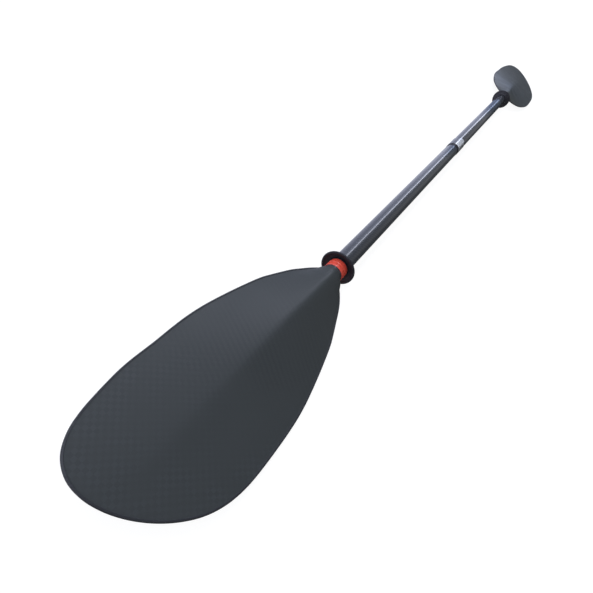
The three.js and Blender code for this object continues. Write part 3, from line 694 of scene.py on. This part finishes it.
def blade_core(name, flip):
    stations = np.concatenate([np.linspace(46, 330, 100)[:-1], 330 + (INNER.tip_u - 7 - 330) * np.sin(PI / 2 * np.linspace(0, 1, 40))])
    count = 61
    u0, y0, z0 = blade_grid(1, SKIN_T + 0.35, stations, count)
    u1, y1, z1 = blade_grid(-1, SKIN_T + 0.35, stations, count)
    mid = (z0 + z1) / 2
    z0, z1 = np.maximum(z0, mid + 0.1), np.minimum(z1, mid - 0.1)
    shrink = 1 - 3.2 / np.maximum(np.abs(y0).max(1, keepdims=True), 10)
    loop = [np.concatenate([p, q[:, ::-1]], 1) for p, q in ((u0, u1), (y0 * shrink, y1 * shrink), (z0, z1))]
    n = 2 * count
    verts = np.stack([flip * (ROOT_X + loop[0]), loop[1], loop[2]], 2).reshape(-1, 3)
    faces = [(s * n + i, s * n + (i + 1) % n, (s + 1) * n + (i + 1) % n, (s + 1) * n + i) for s in range(len(stations) - 1) for i in range(n)]
    for base in (0, (len(stations) - 1) * n):
        faces += [(base + i, base + i + 1, base + n - 2 - i, base + n - 1 - i) for i in range(count - 1)]
    obj = make(name, verts, faces, 40)
    spar = turned("spar_tool", [(flip * (ROOT_X + 40), 0), (flip * (ROOT_X + 40), 12.8), (flip * (ROOT_X + 104.5), 8.3), (flip * (ROOT_X + 104.5), 0)], 64, closed=False)
    mod = obj.modifiers.new("spar", "BOOLEAN")
    mod.operation, mod.object, mod.solver = "DIFFERENCE", spar, "EXACT"
    dg = bpy.context.evaluated_depsgraph_get()
    dg.update()
    new = bpy.data.meshes.new_from_object(obj.evaluated_get(dg))
    obj.modifiers.clear()
    old = obj.data
    obj.data = new
    bpy.data.meshes.remove(old)
    bpy.data.objects.remove(spar)
    return obj


for which, flip in (("left", -1), ("right", 1)):
    body = which + "_half"
    dress(blade_core(which + "_foam", flip), "core_foam", body, which + "_blade_foam_core")
    dress(blade_skin(which + "_power_face", 1, flip), "blade_laminate", body, which + "_blade_power_skin")
    dress(blade_skin(which + "_back_face", -1, flip), "blade_laminate", body, which + "_blade_back_skin")
    dress(blade_rim(which + "_edge_bead", flip), "edge_resin", body, which + "_blade_edge_rim")

# ------------------------------------------------------------- shaft and rings
end = ROOT_X + NECK_U


def shaft_profile(x0, x1):
    return rounded([(x0, SHAFT_IR), (x1, SHAFT_IR), (x1, SHAFT_R), (x0, SHAFT_R)], 0.35, 4)


holes = [-60, 0, 60]
dress(turned("left_shaft", shaft_profile(-end, SEAM_X0), 160), "shaft_carbon", "left_half", "left_shaft_tube")
dress(drill(turned("right_shaft", shaft_profile(SEAM_X1, end), 160), BUTTON_X, BUTTON_R + 0.35, holes), "shaft_carbon", "right_half", "right_shaft_tube")


def trim_profile(flip):
    g = SHAFT_R + 0.12
    r = 15.75
    pts = [(2.0, g), (19.6, g), (19.6, r - 0.1), (19.2, r), (12.6, r), (11.9, r - 0.32), (10.9, r - 0.32), (10.2, r), (2.4, r), (2.0, r - 0.1)]
    return [(flip * (ROOT_X + x), y) for x, y in rounded(pts, 0.35, 4)]


def ring_profile(lip, sign):
    g = SHAFT_R + 0.14
    pts = [(0.0, 25.6), (0.3, 26.9), (1.2, 27.6), (2.7, 27.6), (4.0, 26.4), (5.8, 22.8), (8.3, 19.6), (11.2, 17.8), (12.6, 17.2), (13.0, 16.3),
           (13.0, g), (10.2, g), (9.6, g + 0.35), (9.0, g), (6.1, g), (5.2, 16.6), (4.0, 20.2), (2.7, 23.2), (1.5, 23.9), (0.25, 24.6)]
    return [(lip + sign * x, y) for x, y in rounded(pts, 1.1, 5)]


for which, flip, lip, body in (("left", -1, -621.0, "left_half"), ("right", 1, 592.0, "right_half")):
    dress(turned(which + "_trim", trim_profile(flip), 128), "red_trim", body, which + "_trim_ring")
    dress(turned(which + "_ring", ring_profile(lip, -flip), 144, sharp=60), "drip_rubber", which + "_ring", which + "_drip_ring")

# ----------------------------------------------------------------------- joint
a0, a1 = SEAM_X0 + 0.25, SEAM_X1 - 0.25
seal = rounded([(a0, 12.6), (a1, 12.6), (a1, 15.05), (a1 - 0.8, 15.42), (a1 - 3.4, 15.42), (a1 - 4.35, 14.9), (a0 + 3.4, 15.42), (a0 + 0.8, 15.42), (a0, 15.05)], 0.35, 4)
dress(turned("seam_seal", seal, 144), "drip_rubber", "seal", "joint_seal")
band = rounded([(BAND_X0, 15.08), (BAND_X1, 15.08), (BAND_X1, BAND_R), (BAND_X0, BAND_R)], 0.45, 5)
dress(drill(turned("joint_collar", band, 160), BUTTON_X, BUTTON_R + 0.35, holes), "silver_band", "right_half", "joint_band")
male = rounded([(-62, 10.5), (78, 10.5), (78, 11.9), (76.5, 12.5), (SEAM_X0 - 0.1, 12.5), (SEAM_X0 - 0.1, 13.42), (-62, 13.42)], 0.25, 3)
dress(drill(turned("ferrule_spigot", male, 144), BUTTON_X, BUTTON_R + 0.12, [0]), "ferrule_glass", "left_half", "male_ferrule")
plug = [(66, 0)] + rounded([(66, 0), (66, 10.35), (78.2, 10.35), (78.2, 11.8), (79.8, 11.4), (79.8, 0)], 0.4, 4, closed=False)[1:]
dress(turned("ferrule_cap", plug, 96, closed=False), "drip_rubber", "left_half", "ferrule_end_plug")

head = rounded([(8.2, 0), (8.2, 4.4), (9.2, 4.4), (9.2, BUTTON_R), (16.2, BUTTON_R), (17.0, 2.4), (17.38, 1.2), (17.45, 0)], 0.28, 4, closed=False)
button = turned("button_head", head, 72, closed=False)
button.data.transform(Matrix.Translation((BUTTON_X * MM, 0, 0)) @ Matrix.Rotation(PI / 2, 4, "Y"))
dress(button, "button_steel", "button", "snap_button")

# nodes that keep their CAD shape
for node, slot in (("ferrule_sleeve", "ferrule_glass"), ("snap_spring", "button_steel"),
                   ("left_water_stop", "core_foam"), ("right_water_stop", "core_foam"),
                   ("left_neck_spar", "spar_carbon"), ("right_neck_spar", "spar_carbon")):
    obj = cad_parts[node]
    obj.data.materials.clear()
    obj.data.materials.append(MAT[slot])

# ---------------------------------------------------------------------- camera
F_PX, SIZE = 424.9, 593
A = np.array([0.5247829, -0.5203663, 0.67366299])
W = np.array([-0.6958969, -0.71803228, -0.01253595])
A = A / np.linalg.norm(A)
M = np.cross(A, W)
M = M / np.linalg.norm(M)
W = np.cross(M, A)
P0 = np.array([62.41806627, -43.7193598, 633.79441468]) + 616.97 * A
cam_data = bpy.data.cameras.new("camera")
cam_data.sensor_width = 36.0
cam_data.lens = F_PX / SIZE * 36.0
cam_data.clip_start, cam_data.clip_end = 0.01, 200.0
cam = bpy.data.objects.new("camera", cam_data)
bpy.context.scene.collection.objects.link(cam)
right = Vector((A[0], W[0], M[0]))
up = -Vector((A[1], W[1], M[1]))
back = -Vector((A[2], W[2], M[2]))
loc = -Vector((P0 @ A, P0 @ W, P0 @ M)) * MM
mat = Matrix.Identity(4)
for k, v in enumerate((right, up, back)):
    for r in range(3):
        mat[r][k] = v[r]
mat.translation = loc
cam.matrix_world = mat
bpy.context.scene.camera = cam

# ------------------------------------------------------------ floor and lights
low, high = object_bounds()
floor_mesh = bpy.data.meshes.new("floor")
S = 60.0
floor_mesh.from_pydata([(-S, -S, 0), (S, -S, 0), (S, S, 0), (-S, S, 0)], [], [(0, 1, 2, 3)])
floor = bpy.data.objects.new("floor", floor_mesh)
floor.location = (0, 0, low.z - 0.0005)
bpy.context.scene.collection.objects.link(floor)
fm = bpy.data.materials.new("floor")
fm.use_nodes = True
fb = fm.node_tree.nodes["Principled BSDF"]
fb.inputs["Base Color"].default_value = (0.16, 0.16, 0.16, 1)
fb.inputs["Roughness"].default_value = 0.9
fb.inputs["Specular IOR Level"].default_value = 0.0
fb.inputs["Emission Color"].default_value = (1, 1, 1, 1)
fb.inputs["Emission Strength"].default_value = 0.93
floor_mesh.materials.append(fm)
floor.visible_glossy = False

world = bpy.data.worlds.new("studio")
bpy.context.scene.world = world
world.use_nodes = True
t = world.node_tree
t.nodes.clear()
wout = t.nodes.new("ShaderNodeOutputWorld")
wbg = t.nodes.new("ShaderNodeBackground")
t.links.new(wbg.outputs[0], wout.inputs[0])
tc = t.nodes.new("ShaderNodeTexCoord")
sep = t.nodes.new("ShaderNodeSeparateXYZ")
t.links.new(tc.outputs["Generated"], sep.inputs[0])
at = t.nodes.new("ShaderNodeMath")
at.operation = "ARCTAN2"
t.links.new(sep.outputs[1], at.inputs[0])
t.links.new(sep.outputs[2], at.inputs[1])
mr = t.nodes.new("ShaderNodeMapRange")
mr.inputs[1].default_value, mr.inputs[2].default_value = -PI, PI
t.links.new(at.outputs[0], mr.inputs[0])
rampn = t.nodes.new("ShaderNodeValToRGB")


def turn(deg):
    return (deg + 180.0) / 360.0


stops = [
    (turn(-180), (0.05, 0.055, 0.06)), (turn(-85), (0.08, 0.085, 0.09)), (turn(-50), (0.31, 0.32, 0.33)), (turn(-12), (0.22, 0.235, 0.255)), (turn(18), (0.34, 0.37, 0.43)),
    (turn(21), (4.20, 4.40, 5.10)), (turn(28), (3.10, 3.30, 4.00)), (turn(33), (0.84, 0.90, 1.12)), (turn(60), (0.50, 0.55, 0.72)), (turn(88), (0.62, 0.65, 0.84)), (turn(135), (0.62, 0.65, 0.80)), (turn(180), (0.30, 0.31, 0.38)),
]
e = rampn.color_ramp.elements
while len(e) < len(stops):
    e.new(0.5)
for i, (p, c) in enumerate(stops):
    e[i].position = p
    e[i].color = (*c, 1)
t.links.new(mr.outputs[0], rampn.inputs[0])
far = t.nodes.new("ShaderNodeMapRange")
far.inputs[1].default_value, far.inputs[2].default_value = 0.957, 0.973
t.links.new(sep.outputs[0], far.inputs[0])
tint = t.nodes.new("ShaderNodeMix")
tint.data_type, tint.blend_type = "RGBA", "MULTIPLY"
tint.inputs[7].default_value = (0.24, 0.31, 0.42, 1)
t.links.new(far.outputs[0], tint.inputs[0])
t.links.new(rampn.outputs[0], tint.inputs[6])
lp = t.nodes.new("ShaderNodeLightPath")
mx = t.nodes.new("ShaderNodeMix")
mx.data_type = "RGBA"
t.links.new(lp.outputs["Is Camera Ray"], mx.inputs[0])
t.links.new(tint.outputs[2], mx.inputs[6])
mx.inputs[7].default_value = (1, 1, 1, 1)
t.links.new(mx.outputs[2], wbg.inputs[0])
wbg.inputs[1].default_value = 1.0


def area(name, location, target, size, energy, colour):
    d = bpy.data.lights.new(name, "AREA")
    d.shape, d.size, d.size_y = "RECTANGLE", size[0], size[1]
    d.energy, d.color = energy, colour
    o = bpy.data.objects.new(name, d)
    bpy.context.scene.collection.objects.link(o)
    o.location = location
    o.rotation_euler = (Vector(target) - Vector(location)).to_track_quat("-Z", "Y").to_euler()
    return o


key = area("key_softbox", (-0.4, 2.2, 2.4), (-0.3, 0, 0), (3.0, 1.6), 20, (0.95, 0.97, 1.0))
key.visible_glossy = False

bpy.context.scene.view_settings.view_transform = "Standard"
bpy.context.scene.view_settings.look = "None"
bpy.context.scene.view_settings.exposure = 0.0
